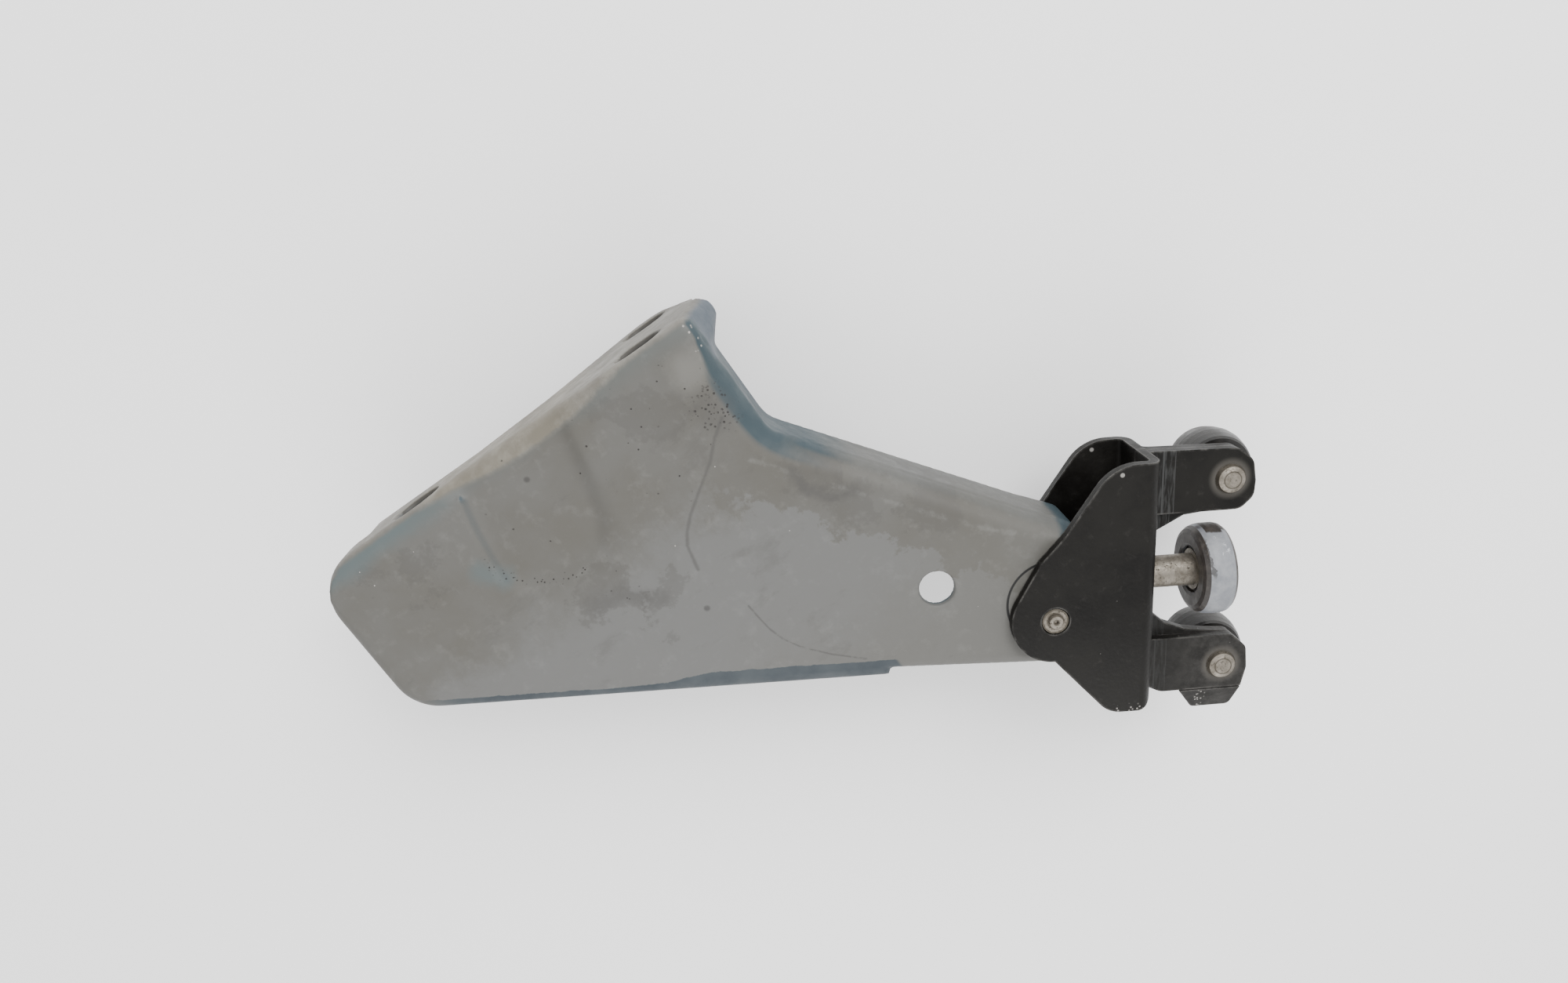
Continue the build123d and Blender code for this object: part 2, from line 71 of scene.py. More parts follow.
# ---------------------------------------------------------------- shader helpers
class Graph:
    """Node tree of one material, with short calls for the nodes used here."""

    def __init__(self, name, roughness=0.5, metallic=0.0, specular=0.5):
        self.material = bpy.data.materials.new(name)
        self.material.use_nodes = True
        self.nodes = self.material.node_tree.nodes
        self.links = self.material.node_tree.links
        self.shader = self.nodes["Principled BSDF"]
        self.shader.inputs["Roughness"].default_value = roughness
        self.shader.inputs["Metallic"].default_value = metallic
        self.shader.inputs["Specular IOR Level"].default_value = specular
        coordinates = self.nodes.new("ShaderNodeTexCoord")
        self.place = coordinates.outputs["Object"]
        self.normal = coordinates.outputs["Normal"]

    def put(self, socket, value):
        """Feeds a socket with a link or a constant."""
        if isinstance(value, bpy.types.NodeSocket):
            self.links.new(value, socket)
        else:
            socket.default_value = value

    def calc(self, operation, a, b=0.0, clamp=False):
        """Math node."""
        node = self.nodes.new("ShaderNodeMath")
        node.operation = operation
        node.use_clamp = clamp
        self.put(node.inputs[0], a)
        self.put(node.inputs[1], b)
        return node.outputs[0]

    def times(self, *values):
        """Product of several values."""
        total = values[0]
        for value in values[1:]:
            total = self.calc("MULTIPLY", total, value)
        return total

    def most(self, *values):
        """Largest of several values."""
        total = values[0]
        for value in values[1:]:
            total = self.calc("MAXIMUM", total, value)
        return total

    def dot(self, vector, direction, offset=0.0):
        """Length of a vector along a direction, less an offset."""
        node = self.nodes.new("ShaderNodeVectorMath")
        node.operation = "DOT_PRODUCT"
        self.put(node.inputs[0], vector)
        node.inputs[1].default_value = direction
        return self.calc("SUBTRACT", node.outputs["Value"], offset)

    def away(self, point):
        """Distance of a place from a point, seen along Z."""
        flat = self.vector("MULTIPLY", self.place, (1, 1, 0))
        return self.vector("DISTANCE", flat, (point[0], point[1], 0))

    def vector(self, operation, a, b):
        """Vector math node that gives a vector or a length."""
        node = self.nodes.new("ShaderNodeVectorMath")
        node.operation = operation
        self.put(node.inputs[0], a)
        self.put(node.inputs[3] if operation == "SCALE" else node.inputs[1], b)
        return node.outputs["Value"] if operation in ("DOT_PRODUCT", "DISTANCE") else node.outputs["Vector"]

    def from_line(self, points):
        """Distance of a place from a line through points given as (x, y) in millimetres, seen along Z."""
        flat = self.vector("MULTIPLY", self.place, (1, 1, 0))
        nearest = None
        for (x0, y0), (x1, y1) in zip(points, points[1:]):
            start = Vector((x0 * MM, y0 * MM, 0))
            run = Vector((x1 * MM, y1 * MM, 0)) - start
            offset = self.vector("SUBTRACT", flat, start)
            along = self.vector("DOT_PRODUCT", offset, run / run.length_squared)
            along = self.calc("ADD", along, 0.0, clamp=True)
            foot = self.vector("SCALE", run, along)
            gap = self.vector("DISTANCE", offset, foot)
            nearest = gap if nearest is None else self.calc("MINIMUM", nearest, gap)
        return nearest

    def ramp(self, value, low, high, start=0.0, end=1.0):
        """Smooth step of a value from low to high."""
        node = self.nodes.new("ShaderNodeMapRange")
        node.interpolation_type = "SMOOTHSTEP"
        self.put(node.inputs["Value"], value)
        node.inputs["From Min"].default_value = low
        node.inputs["From Max"].default_value = high
        node.inputs["To Min"].default_value = start
        node.inputs["To Max"].default_value = end
        return node.outputs["Result"]

    def noise(self, size, detail=4.0, rough=0.55, stretch=(1, 1, 1), seed=0.0):
        """Cloudy value, about 0.5 in the middle, with features of a size in metres."""
        mapping = self.nodes.new("ShaderNodeMapping")
        self.put(mapping.inputs["Vector"], self.place)
        mapping.inputs["Scale"].default_value = [s / size for s in stretch]
        mapping.inputs["Location"].default_value = (seed, seed * 1.7, seed * 0.6)
        node = self.nodes.new("ShaderNodeTexNoise")
        self.put(node.inputs["Vector"], mapping.outputs[0])
        node.inputs["Scale"].default_value = 1.0
        node.inputs["Detail"].default_value = detail
        node.inputs["Roughness"].default_value = rough
        return node.outputs["Fac"]

    def specks(self, size, radius, seed=0.0):
        """Scattered dots: 1 in a dot, 0 between dots."""
        mapping = self.nodes.new("ShaderNodeMapping")
        self.put(mapping.inputs["Vector"], self.place)
        mapping.inputs["Scale"].default_value = (1 / size, 1 / size, 1 / size)
        mapping.inputs["Location"].default_value = (seed, seed, seed)
        node = self.nodes.new("ShaderNodeTexVoronoi")
        self.put(node.inputs["Vector"], mapping.outputs[0])
        node.inputs["Scale"].default_value = 1.0
        return self.ramp(node.outputs["Distance"], radius * 0.6, radius, 1.0, 0.0)

    def band(self, value, middle, half, soft):
        """1 where a value lies within half of a middle, fading over a soft margin."""
        gap = self.calc("ABSOLUTE", self.calc("SUBTRACT", value, middle))
        return self.ramp(gap, half + soft, half)

    def streaks(self, across, along, wide, long, seed=0.0):
        """Cloudy value drawn out along one of two measures."""
        node = self.nodes.new("ShaderNodeCombineXYZ")
        self.put(node.inputs[0], self.times(across, 1 / wide))
        self.put(node.inputs[1], self.times(along, 1 / long))
        node.inputs[2].default_value = seed
        cloud = self.nodes.new("ShaderNodeTexNoise")
        self.put(cloud.inputs["Vector"], node.outputs[0])
        cloud.inputs["Scale"].default_value = 1.0
        cloud.inputs["Detail"].default_value = 5.0
        return cloud.outputs["Fac"]

    def mix(self, amount, a, b):
        """Colour a going to colour b."""
        node = self.nodes.new("ShaderNodeMix")
        node.data_type = "RGBA"
        self.put(node.inputs[0], amount)
        self.put(node.inputs[6], a if isinstance(a, bpy.types.NodeSocket) else (*a, 1))
        self.put(node.inputs[7], b if isinstance(b, bpy.types.NodeSocket) else (*b, 1))
        return node.outputs[2]

    def edges(self, radius, low=0.02, high=0.25):
        """1 along sharp edges, 0 on open faces."""
        bevel = self.nodes.new("ShaderNodeBevel")
        bevel.samples = 4
        bevel.inputs["Radius"].default_value = radius
        facing = self.nodes.new("ShaderNodeNewGeometry").outputs["Normal"]
        node = self.nodes.new("ShaderNodeVectorMath")
        node.operation = "DOT_PRODUCT"
        self.put(node.inputs[0], bevel.outputs[0])
        self.put(node.inputs[1], facing)
        return self.ramp(node.outputs["Value"], 1 - high, 1 - low, 1.0, 0.0)

    def colour(self, value):
        """Base colour of the shader."""
        self.put(self.shader.inputs["Base Color"], value)

    def rough(self, value):
        """Roughness of the shader."""
        self.put(self.shader.inputs["Roughness"], value)

    def bump(self, height, depth):
        """Fine relief, with its depth in metres."""
        node = self.nodes.new("ShaderNodeBump")
        node.inputs["Distance"].default_value = depth
        self.put(node.inputs["Height"], height)
        self.put(self.shader.inputs["Normal"], node.outputs[0])


# ---------------------------------------------------------------- primer of the arm
WARM_PRIMER = (0.078, 0.074, 0.064)
COOL_PRIMER = (0.090, 0.088, 0.081)
PALE_PRIMER = (0.108, 0.108, 0.105)
RUBBED = (0.055, 0.052, 0.047)

TIP_PRIMER = (0.088, 0.085, 0.075)
BARE_GREY = (0.26, 0.26, 0.25)                             # fine rubbed-through grain
BLUE_GREEN = (0.070, 0.098, 0.104)                         # shows through beside the flange
SHADE = (0.045, 0.042, 0.038)
PALE_CREASE = (0.17, 0.17, 0.16)
PALE_CORNER = (0.17, 0.165, 0.15)
BLUES = (0.017, 0.033, 0.042), (0.030, 0.046, 0.053)
SLATES = (0.045, 0.060, 0.076), (0.062, 0.076, 0.092)
LOW_BAND = (0.026, 0.033, 0.040), (0.044, 0.052, 0.058)
TANS = (0.112, 0.103, 0.086), (0.190, 0.181, 0.158)
AMBER = (0.175, 0.150, 0.100)
# painted shade on the walls inside the mounting flange's slots
SLOT_SHADE = (0.035, 0.031, 0.026)
PIT = (0.014, 0.012, 0.011)
VEIL = (0.045, 0.042, 0.040)
CHIP = (0.38, 0.365, 0.34)
# near-black painted shadow along the step of the tip's round recess
RECESS_SHADOW = (0.008, 0.008, 0.008)

# Marks on the arm's web, as (x, y) in millimetres.
PAINT_RUN = [
    (29, 48.5), (32.5, 43.5), (37.6, 38.2), (42.5, 31), (47.1, 24.5), (50.8, 20.6), (54.2, 18.2), (62, 16.4),
]
SCRATCH = [
    (80.2, 21.7), (84, 21.9), (90, 22.5), (95, 23.9), (99.8, 26.4), (104, 29.6), (108.1, 33.0), (115.5, 40.5),
]
SMUDGE = [(54.3, 55.5), (60.5, 56.0), (66.8, 60.5), (68.6, 67.0)]
LOW_SMUDGE = [(54.5, -14), (55.8, -5), (63.5, 2.4)]
SPATTER = [(24, -32.5), (31, -30.5), (37, -26), (41.5, -18), (43, -9)]
POCKET_SHADE = [(7, 9.0), (20, 6.2), (34, 2.8), (39, -1.0)]
BLOTCHES = [                                               # middle and size
    ((57, 63), 9), ((71, 66), 10), ((86, 80), 9), ((55, -8), 8), ((66, 4), 7), ((14, 32), 9), ((12, -52), 9),
]
BLUE_WALL = (-0.596, 0.803, 0)                             # way the arm's top wall faces
BLUE_WALL_AT = 0.0213                                      # how far out it stands along that way
LOW_SIDE = (0.848, -0.530, 0)                              # way the arm's long lower edge faces
LOW_SIDE_AT = 0.0830
RECESS_AT = (0.1332, 0.0961)                               # middle of the round recess at the tip
RECESS_R = 13.6 * MM
RECESS_SIDE = (-0.82, 0.57, 0)                             # way from its middle to the side that shows
HOLE_AT = (0.1089, 0.0704)
CREASE = [(43, 47.5), (60, 60.0), (80, 75.5), (101, 92.0), (112, 103.0)]
PEN = (0.05, 0.048, 0.045)


def wall_inset(g):
    """Distance in from the arm's long upper wall, in metres."""
    return g.calc("MULTIPLY", g.dot(g.place, BLUE_WALL, BLUE_WALL_AT), -1.0)


def primer_coat(g, x, y, up, shift, fine):
    """Primer: a warmer older coat by the flange, a paler one on the arm, and darker rubbed blotches."""
    cloud = g.noise(0.045, 5, 0.6, seed=3.1)
    body = g.mix(g.ramp(cloud, 0.36, 0.64), WARM_PRIMER, COOL_PRIMER)
    torn = g.calc("ADD", wall_inset(g), g.times(shift, 0.045))
    pale = g.times(g.ramp(torn, 0.020, 0.0225), g.ramp(g.calc("ADD", x, g.times(shift, 0.05)), 0.040, 0.060))
    body = g.mix(g.times(pale, 0.85), body, PALE_PRIMER)
    near_tip = g.ramp(g.calc("ADD", x, g.times(shift, 0.05)), 0.085, 0.125)
    body = g.mix(g.times(near_tip, 0.55), body, TIP_PRIMER)
    for (bx, by), size in BLOTCHES:
        gap = g.calc("ADD", g.away((bx * MM, by * MM)), g.times(shift, 0.06))
        body = g.mix(g.ramp(gap, size * MM, size * MM * 0.55, 0.0, 0.33), body, RUBBED)
    body = g.mix(g.times(g.ramp(fine, 0.50, 0.78), 0.13), body, BARE_GREY)
    smear = g.times(g.ramp(g.noise(0.012, 6, 0.7, stretch=(1, 0.5, 1), seed=1.3), 0.56, 0.70), 0.30)
    body = g.mix(smear, body, RUBBED)
    # blue-green showing through beside the flange and by the pocket
    by_flange = g.times(g.ramp(g.calc("ADD", x, g.times(shift, 0.006)), 0.0085, 0.0020), 0.45)
    low_end = g.ramp(g.calc("ADD", y, g.times(shift, 0.02)), -0.022, -0.045)
    by_flange = g.times(by_flange, g.calc("ADD", low_end, 0.5))
    patch = g.ramp(g.calc("ADD", g.from_line([(26, -35), (32, -31)]), g.times(shift, 0.008)), 0.005, 0.0)
    body = g.mix(g.times(g.most(by_flange, g.times(patch, 0.5)), up), body, BLUE_GREEN)
    # soft shade under the pocket's upper side, a pale line along the arm's crease
    shade = g.ramp(g.from_line(POCKET_SHADE), 0.0034, 0.0)
    body = g.mix(g.times(shade, up, 0.22), body, SHADE)
    crease = g.ramp(g.calc("ADD", g.from_line(CREASE), g.times(shift, 0.0015)), 0.0011, 0.0001)
    body = g.mix(g.times(crease, up, g.ramp(fine, 0.42, 0.62), 0.22), body, PALE_CREASE)
    corner = g.ramp(g.calc("ADD", g.away((0.012, 0.049)), g.times(shift, 0.01)), 0.009, 0.001)
    return g.mix(g.times(corner, up, 0.45), body, PALE_CORNER), cloud


def blue_paint(g, x, y, z, shift, small_shift, body):
    """Blue paint near the stub, on the end wall, in the hole, at the tip, inside and along the lower edge."""
    tone = g.ramp(g.noise(0.02, 4, 0.6, seed=4.2), 0.35, 0.65)
    blue = g.mix(tone, *BLUES)
    slate = g.mix(tone, *SLATES)
    side = g.dot(g.normal, (0, 0, 1))
    upright = g.ramp(side, 0.985, 0.90)
    ragged_x = g.calc("ADD", x, g.times(shift, 0.014))
    reach = g.calc("ADD", y, g.times(shift, 0.010))
    stub = g.times(g.ramp(ragged_x, 0.062, 0.040), upright, g.ramp(reach, 0.0440, 0.0500))
    stub = g.times(stub, g.ramp(x, 0.012, 0.024))
    deep = g.times(g.ramp(side, 0.80, 0.45), g.ramp(ragged_x, 0.066, 0.050, 0.16, 1.0))
    deep = g.times(deep, g.ramp(x, 0.040, 0.050))
    rim = g.times(g.ramp(z, 0.0065, 0.0020), g.ramp(x, 0.064, 0.046), g.ramp(wall_inset(g), 0.004, 0.001))
    end = g.times(g.ramp(g.dot(g.normal, (0, 1, 0)), 0.35, 0.60), g.ramp(x, 0.050, 0.044))
    end_slate = g.ramp(g.calc("ADD", z, g.times(small_shift, 0.002)), 0.0060, 0.0030)
    end_slate = g.times(end_slate, end, g.ramp(x, 0.017, 0.013))
    low_gap = g.dot(g.place, LOW_SIDE, LOW_SIDE_AT)
    band_low = g.ramp(y, 0.004, -0.020, -0.0056, -0.0026)
    ragged = g.calc("SUBTRACT", g.calc("ADD", low_gap, g.times(small_shift, 0.0016)), band_low)
    band = g.times(g.ramp(ragged, -0.0002, 0.0002), g.ramp(y, -0.078, -0.060), g.ramp(y, 0.0485, 0.0470))
    hole = g.times(g.ramp(g.away(HOLE_AT), 0.0060, 0.0056), g.ramp(z, 0.0088, 0.0080))
    tip_gap = g.calc("ADD", g.away((0.1195, 0.1150)), g.times(shift, 0.006))
    tip = g.ramp(tip_gap, 0.0085, 0.0050)
    underside = g.times(g.ramp(side, -0.1, -0.6), 0.8)
    colour = g.mix(g.most(stub, deep, rim, end, band, hole, tip, underside), body, blue)
    colour = g.mix(g.times(band, 0.85), colour, g.mix(tone, *LOW_BAND))
    return g.mix(end_slate, colour, slate)


def face_dirt(g, x, y, z, small_shift, colour):
    """Beige dirt on the mounting face, which laps over the edge beside the pocket, and painted shade on the
    slots' upward-facing walls.
    """
    tan = g.mix(g.ramp(g.noise(0.016, 6, 0.7, seed=2.5), 0.38, 0.66), *TANS)
    middle_gap = g.calc("ABSOLUTE", g.calc("ADD", y, g.times(small_shift, 0.006)))
    lap = g.ramp(middle_gap, 0.0420, 0.0040, 0.0, 0.0045)
    edge = g.calc("SUBTRACT", g.calc("ADD", x, g.times(small_shift, 0.0016)), lap)
    colour = g.mix(g.times(g.ramp(edge, 0.0020, -0.0002), 0.90), colour, tan)
    pocket_gap_y = g.calc("ABSOLUTE", g.calc("ADD", y, 0.010))
    amber = g.times(g.ramp(edge, 0.0008, 0.0), g.ramp(pocket_gap_y, 0.034, 0.018))
    colour = g.mix(g.times(amber, 0.25), colour, AMBER)
    # painted shade: darkens the slot walls within the flange's thickness that face up
    inside = g.times(g.ramp(x, 0.0001, 0.0004), g.ramp(x, 0.0034, 0.0031), g.ramp(z, 0.0, -0.001))
    inside = g.times(inside, g.ramp(g.dot(g.normal, (0, 0, 1)), 0.3, 0.6))
    return g.mix(g.times(inside, 0.8), colour, SLOT_SHADE)


def web_lines(g, up, shift, small_shift, colour):
    """The paint run, the fine scratch and two smudges on the web."""
    broken = g.ramp(g.noise(0.004, 4, 0.6, seed=6.6), 0.36, 0.52)
    run = g.ramp(g.calc("ADD", g.from_line(PAINT_RUN), g.times(small_shift, 0.0009)), 0.0009, 0.0)
    scratch = g.ramp(g.calc("ADD", g.from_line(SCRATCH), g.times(small_shift, 0.0006)), 0.0005, 0.0)
    smudge = g.ramp(g.calc("ADD", g.from_line(SMUDGE), g.times(shift, 0.006)), 0.0032, 0.0)
    low_smudge = g.calc("ADD", g.from_line(LOW_SMUDGE), g.times(shift, 0.014))
    low_smudge = g.ramp(low_smudge, 0.0042, 0.0)
    lines = g.most(g.times(run, 0.62), g.times(scratch, broken, 0.65))
    marks = g.most(lines, g.times(smudge, 0.62), g.times(low_smudge, 0.42))
    return g.mix(g.times(marks, up), colour, PEN)


def web_pits(g, up, shift, colour):
    """Dark pits: two scattered fields, a dense cluster under the stub, and spatter round the pocket."""
    pits = g.times(g.specks(0.0036, 0.085, 5.0), g.ramp(g.away((0.024, 0.034)), 0.026, 0.012))
    sparse = g.times(g.specks(0.0060, 0.060, 3.3), g.ramp(g.away((0.024, 0.004)), 0.038, 0.016))
    cluster_gap = g.calc("ADD", g.away((0.0262, 0.0490)), g.times(shift, 0.012))
    cluster = g.times(g.specks(0.0012, 0.33, 8.0), g.ramp(cluster_gap, 0.0095, 0.003))
    cluster = g.times(cluster, g.ramp(g.noise(0.004, 3, 0.6, seed=5.1), 0.36, 0.50))
    spatter = g.times(g.specks(0.0011, 0.26, 2.0), g.ramp(g.from_line(SPATTER), 0.0020, 0.0003))
    near_spot = g.ramp(g.away((0.0119, -0.0074)), 0.0013, 0.0004)
    lone = g.most(g.ramp(g.away((0.0735, 0.0113)), 0.0013, 0.0005), near_spot)
    specks = g.times(g.specks(0.0026, 0.12, 6.0), g.ramp(g.away((0.052, -0.006)), 0.012, 0.004))
    pits = g.times(g.most(pits, sparse, cluster, spatter, g.times(lone, 0.6), g.times(specks, 0.6)), up)
    colour = g.mix(g.times(g.ramp(cluster_gap, 0.0095, 0.002), up, 0.30), colour, VEIL)
    return g.mix(g.times(pits, 0.88), colour, PIT), pits


def web_marks(g, up, shift, small_shift, colour):
    """Runs, scratches, pits, chips and a painted shadow line along the step of the tip's recess. Gives the
    colour, the pits and the chips.
    """
    colour = web_lines(g, up, shift, small_shift, colour)
    colour, pits = web_pits(g, up, shift, colour)
    chip_gap = g.calc("ADD", g.from_line([(3.5, 55.0), (8.0, 54.6)]), g.times(small_shift, 0.003))
    chips = g.times(g.specks(0.0016, 0.26, 12.0), g.ramp(chip_gap, 0.0024, 0.0008))
    chips = g.most(chips, g.times(g.specks(0.0085, 0.032, 11.0), up))
    colour = g.mix(g.times(chips, 0.75), colour, CHIP)
    # painted shadow: a near-black line along the rim of the tip's recess, on the side where its step shows
    groove = g.band(g.away(RECESS_AT), RECESS_R - 0.0002, 0.00022, 0.0003)
    groove = g.times(groove, g.ramp(g.dot(g.place, RECESS_SIDE, -0.066), 0.0, 0.004))
    return g.mix(groove, colour, RECESS_SHADOW), pits, chips


def primer_material():
    """Grey primer over blue paint: blotches, dirt on the mounting face, blue where the primer is thin."""
    g = Graph("arm_primer_worn", roughness=0.55, specular=0.35)
    x = g.dot(g.place, (1, 0, 0))
    y = g.dot(g.place, (0, 1, 0))
    z = g.dot(g.place, (0, 0, 1))
    up = g.ramp(g.dot(g.normal, (0, 0, 1)), 0.5, 0.9)
    fine = g.noise(0.005, 6, 0.65, seed=7.7)
    shift = g.calc("SUBTRACT", g.noise(0.016, 6, 0.7, seed=9.4), 0.5)
    small_shift = g.calc("SUBTRACT", g.noise(0.005, 5, 0.7, seed=1.4), 0.5)
    colour, cloud = primer_coat(g, x, y, up, shift, fine)
    colour = blue_paint(g, x, y, z, shift, small_shift, colour)
    colour = face_dirt(g, x, y, z, small_shift, colour)
    colour, pits, chips = web_marks(g, up, shift, small_shift, colour)
    g.colour(colour)
    g.rough(g.ramp(fine, 0.2, 0.8, 0.45, 0.68))
    height = g.calc("ADD", g.times(fine, 0.35), g.times(cloud, 0.5))
    height = g.calc("SUBTRACT", height, g.most(g.times(pits, 0.7), g.times(chips, 0.3)))
    g.bump(height, 0.0003)
    return g.material


# ---------------------------------------------------------------- the other materials
DIP_DARK, DIP_LIGHT = (0.0030, 0.0026, 0.0022), (0.0070, 0.0064, 0.0054)
DIP_LOWER = (0.0165, 0.0158, 0.0145)                       # towards the foot of the cheek
DIP_DUST = (0.040, 0.037, 0.033)
# paler colour laid along the carriage's sharp edges as a painted highlight
DIP_EDGE_HIGHLIGHT = (0.125, 0.120, 0.112)
DIP_HAZE = (0.060, 0.057, 0.054)
COINED = (0.085, 0.087, 0.087)
HALO = (0.110, 0.102, 0.090)                               # rubbed ring round a rivet
DIP_CHIP = (0.26, 0.25, 0.235)
NICK = [(145.5, 79.2), (148.9, 81.6), (150.4, 85.0)]
# dark grime on the load roller's sides, also the colour of the painted shadow across the top of its tread
GRIME_AND_SHADOW = (0.020, 0.0155, 0.0125), (0.042, 0.034, 0.028)


def joint_at(name):
    """Place of a joint's axis."""
    return RECORD_JOINTS[name]["pos_m"]


def carriage_point(x, y):
    """Place of a point given in the carriage's own axes, in millimetres."""
    return PIVOT + OUT * (x * MM) + SIDE * (y * MM)


def carriage_coat(g, cloud, across, along):
    """Dip coat with dust, a painted highlight along the edges and a hazy lower flat. Gives the colour and the
    dust.
    """
    colour = g.mix(g.ramp(cloud, 0.35, 0.68), DIP_DARK, DIP_LIGHT)
    colour = g.mix(g.times(g.ramp(along, 0.006, -0.030), 0.5), colour, DIP_LOWER)
    dust = g.ramp(g.noise(0.0035, 6, 0.7, seed=5.5), 0.55, 0.76)
    colour = g.mix(g.times(dust, 0.22), colour, DIP_DUST)
    # painted highlight: paler colour along the sharp edges, broken up by noise
    worn = g.times(g.edges(0.0011, 0.01, 0.16), g.ramp(g.noise(0.005, 5, 0.7, seed=8.8), 0.36, 0.62))
    colour = g.mix(g.times(worn, 0.7), colour, DIP_EDGE_HIGHLIGHT)
    haze = g.times(g.ramp(across, 0.033, 0.055), g.ramp(along, 0.0, -0.016), 0.40)
    haze = g.times(haze, g.ramp(g.noise(0.006, 5, 0.7, seed=3.9), 0.3, 0.7))
    return g.mix(haze, colour, DIP_HAZE), dust


def carriage_rubs(g, across, along, up, colour):
    """Coined strip at the foot of each bend, and a rubbed halo round each rivet."""
    strip = g.times(g.ramp(across, 0.0330, 0.0340), g.ramp(across, 0.0397, 0.0393), up)
    marks = g.ramp(g.streaks(across, along, 0.0008, 0.006, 1.0), 0.42, 0.66)
    lines = g.most(g.band(across, 0.0395, 0.00012, 0.00015), g.band(across, 0.0358, 0.00012, 0.0003))
    strip = g.times(strip, g.calc("ADD", g.ramp(along, -0.005, 0.020, 0.0, 0.35), 0.20))
    strip = g.times(strip, g.most(g.times(marks, 0.55), g.times(lines, 0.75)))
    colour = g.mix(strip, colour, COINED)
    for name in ("upper_guide_spin", "lower_guide_spin"):
        halo = g.times(g.ramp(g.away(joint_at(name)), 0.0072, 0.0044), up)
        colour = g.mix(g.times(halo, 0.55), colour, HALO)
    return colour


def carriage_chips(g, cloud, across, along):
    """Bare spots: scattered chips, a bent nick, chafing at the cheek's foot and the stop lip, and a dot."""
    chips = g.times(g.specks(0.0075, 0.040, 4.0), g.ramp(cloud, 0.45, 0.6))
    nick = g.calc("ADD", g.from_line(NICK), g.times(g.noise(0.0012, 4), 0.0004))
    nick = g.ramp(nick, 0.0007, 0.0004)
    foot = g.times(g.ramp(along, -0.0290, -0.0315), g.ramp(across, 0.015, 0.019))
    foot = g.times(foot, g.ramp(across, 0.030, 0.026))
    lip = g.times(g.ramp(along, -0.0335, -0.0350), g.band(across, 0.0515, 0.0012, 0.0008))
    chafed = g.times(g.specks(0.0011, 0.34, 9.0), g.most(foot, lip))
    dot = g.ramp(g.away(carriage_point(18.8, 44.6)), 0.0008, 0.0005)
    return g.most(chips, nick, chafed, dot)


def carriage_material():
    """Dark dip coat on pressed steel, with a painted highlight along the edges, coined strips and fine
    scratches.
    """
    g = Graph("carriage_dip_coat", roughness=0.55, specular=0.16)
    cloud = g.noise(0.02, 5, 0.65, seed=1.9)
    up = g.ramp(g.dot(g.normal, (0, 0, 1)), 0.6, 0.9)
    across = g.dot(g.place, OUT, PIVOT.dot(OUT))
    along = g.dot(g.place, SIDE, PIVOT.dot(SIDE))
    colour, dust = carriage_coat(g, cloud, across, along)
    colour = carriage_rubs(g, across, along, up, colour)
    colour = g.mix(g.times(carriage_chips(g, cloud, across, along), 0.8), colour, DIP_CHIP)
    g.colour(colour)
    g.rough(g.ramp(cloud, 0.3, 0.7, 0.38, 0.58))
    g.bump(g.calc("ADD", g.times(dust, 0.4), g.noise(0.0012, 3, 0.5)), 0.00010)
    return g.material


def steel_material(name, light, dark, metallic=0.75, rough=0.42, rings=()):
    """Plated or bare steel with speckles of dirt, and dark rings round the axes at given distances."""
    g = Graph(name, roughness=rough, metallic=metallic)
    cloud = g.noise(0.004, 6, 0.75, seed=2.2)
    colour = g.mix(g.ramp(cloud, 0.36, 0.66), light, dark)
    speck = g.ramp(g.noise(0.0010, 5, 0.75, seed=6.1), 0.57, 0.67)
    colour = g.mix(g.times(speck, 0.75), colour, (0.060, 0.050, 0.036))
    up = g.ramp(g.dot(g.normal, (0, 0, 1)), 0.2, 0.5)
    for centre, radius, half in rings:
        ring = g.times(g.band(g.away(centre), radius, half, 0.0003), up)
        colour = g.mix(g.times(ring, 0.75), colour, (0.045, 0.038, 0.028))
    g.colour(colour)
    g.rough(g.ramp(cloud, 0.3, 0.7, rough - 0.08, rough + 0.14))
    g.bump(g.calc("ADD", g.noise(0.0009, 4, 0.6), speck), 0.00010)
    return g.material


